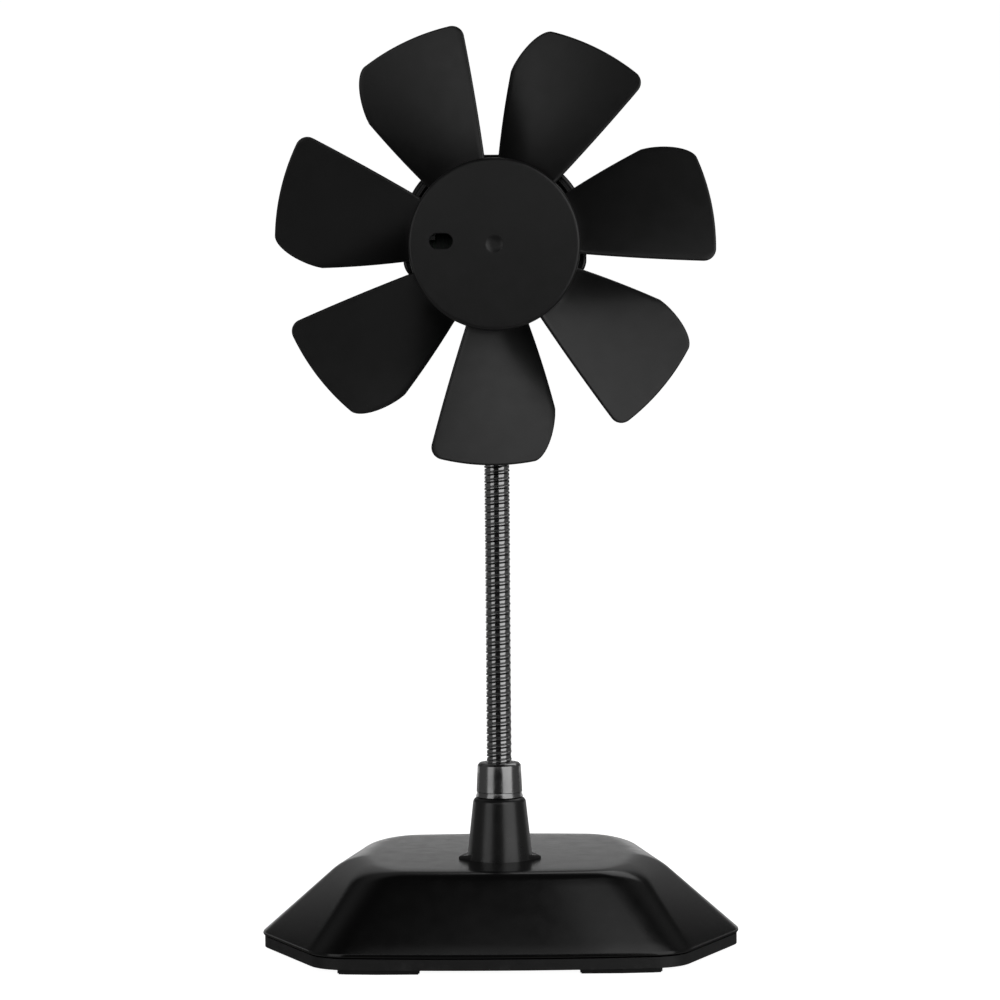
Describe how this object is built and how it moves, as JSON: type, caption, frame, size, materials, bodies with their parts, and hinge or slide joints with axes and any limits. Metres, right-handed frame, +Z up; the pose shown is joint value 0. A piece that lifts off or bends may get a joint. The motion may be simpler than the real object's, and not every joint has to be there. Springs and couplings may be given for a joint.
{
  "type": "desk fan",
  "caption": "Small open desk fan: flat-hubbed axial impeller on a bendable gooseneck that stands on a low weighted six-sided base with an on/off rocker.",
  "frame": {"origin": "on the ground under the middle of the base", "axes": "+Z up along the neck, -Y the way the fan blows, +X to the right seen from the front"},
  "size_m": [0.12, 0.091, 0.23],
  "materials": {
    "satin_black_plastic": "satin moulded, fine grain",
    "matte_black_plastic": "matte moulded, fine grain",
    "impeller_plastic": "matte moulded, fine grain",
    "black_rubber": "matte",
    "black_chrome": "polished dark nickel",
    "gunmetal": "turned, dark plated",
    "zinc_steel": "zinc plated",
    "cast_weight": "cast",
    "brass": "machined",
    "bronze": "sintered",
    "lamination_steel": "stamped",
    "ferrite": "bonded ferrite",
    "copper_winding": "enamelled wire",
    "board_green": "solder mask",
    "white_nylon": "moulded",
    "lead_insulation": "extruded"
  },
  "bodies": {
    "base": {"base_cover": "satin_black_plastic", "base_plate": "matte_black_plastic", "rubber_feet": "black_rubber", "cover_screws": "zinc_steel", "ballast_weight": "cast_weight", "ballast_screws": "zinc_steel", "neck_boot": "satin_black_plastic", "lower_ferrule": "gunmetal", "lower_washer": "zinc_steel", "lower_nut": "zinc_steel", "switch_body": "matte_black_plastic", "switch_terminals": "brass", "cable_grommet": "black_rubber", "cord_clamp": "matte_black_plastic", "clamp_screws": "zinc_steel", "base_leads": "lead_insulation", "lead_sleeves": "matte_black_plastic", "neck_root": "black_chrome"},
    "rocker": {"rocker_button": "satin_black_plastic"},
    "neck_1": {"neck_link_1": "black_chrome"},
    "neck_2": {"neck_link_2": "black_chrome"},
    "neck_3": {"neck_link_3": "black_chrome"},
    "neck_4": {"neck_link_4": "black_chrome"},
    "neck_5": {"neck_link_5": "black_chrome"},
    "neck_6": {"neck_link_6": "black_chrome"},
    "neck_7": {"neck_link_7": "black_chrome"},
    "head": {"neck_end": "black_chrome", "upper_ferrule": "gunmetal", "upper_nut": "zinc_steel", "motor_housing": "satin_black_plastic", "rear_cap": "satin_black_plastic", "cap_screws": "zinc_steel", "bearing_tube": "brass", "sleeve_bearing": "bronze", "thrust_plate": "white_nylon", "stator_core": "lamination_steel", "stator_insulators": "white_nylon", "stator_windings": "copper_winding", "driver_board": "board_green", "board_parts": "matte_black_plastic", "motor_leads": "lead_insulation"},
    "rotor": {"impeller": "impeller_plastic", "rotor_yoke": "zinc_steel", "magnet_ring": "ferrite", "rotor_shaft": "zinc_steel", "shaft_clip": "zinc_steel", "slip_washer": "white_nylon"}
  },
  "joints": [
    {"name": "rocker_tilt", "type": "hinge", "parent": "base", "child": "rocker", "pos_m": [0.021, 0.03854, 0.01353], "axis": [-1, 0, 0], "range_deg": [0, 16]},
    {"name": "neck_pitch_1", "type": "hinge", "parent": "base", "child": "neck_1", "pos_m": [0, -0.012, 0.05375], "axis": [1, 0, 0], "range_deg": [-18, 18]},
    {"name": "neck_side_1", "type": "hinge", "parent": "neck_1", "child": "neck_2", "pos_m": [0, -0.012, 0.06485], "axis": [0, 1, 0], "range_deg": [-18, 18]},
    {"name": "neck_pitch_2", "type": "hinge", "parent": "neck_2", "child": "neck_3", "pos_m": [0, -0.012, 0.07595], "axis": [1, 0, 0], "range_deg": [-18, 18]},
    {"name": "neck_side_2", "type": "hinge", "parent": "neck_3", "child": "neck_4", "pos_m": [0, -0.012, 0.08705], "axis": [0, 1, 0], "range_deg": [-18, 18]},
    {"name": "neck_pitch_3", "type": "hinge", "parent": "neck_4", "child": "neck_5", "pos_m": [0, -0.012, 0.09815], "axis": [1, 0, 0], "range_deg": [-18, 18]},
    {"name": "neck_side_3", "type": "hinge", "parent": "neck_5", "child": "neck_6", "pos_m": [0, -0.012, 0.10925], "axis": [0, 1, 0], "range_deg": [-18, 18]},
    {"name": "neck_pitch_4", "type": "hinge", "parent": "neck_6", "child": "neck_7", "pos_m": [0, -0.012, 0.12035], "axis": [1, 0, 0], "range_deg": [-18, 18]},
    {"name": "neck_side_4", "type": "hinge", "parent": "neck_7", "child": "head", "pos_m": [0, -0.012, 0.13145], "axis": [0, 1, 0], "range_deg": [-18, 18]},
    {"name": "rotor_spin", "type": "hinge", "parent": "head", "child": "rotor", "pos_m": [0, -0.0275, 0.177], "axis": [0, -1, 0], "continuous": true}
  ],
  "couplings": [
    {"joint": "neck_pitch_2", "follows": "neck_pitch_1", "ratio": 1},
    {"joint": "neck_side_2", "follows": "neck_side_1", "ratio": 1},
    {"joint": "neck_pitch_3", "follows": "neck_pitch_1", "ratio": 1},
    {"joint": "neck_side_3", "follows": "neck_side_1", "ratio": 1},
    {"joint": "neck_pitch_4", "follows": "neck_pitch_1", "ratio": 1},
    {"joint": "neck_side_4", "follows": "neck_side_1", "ratio": 1}
  ]
}
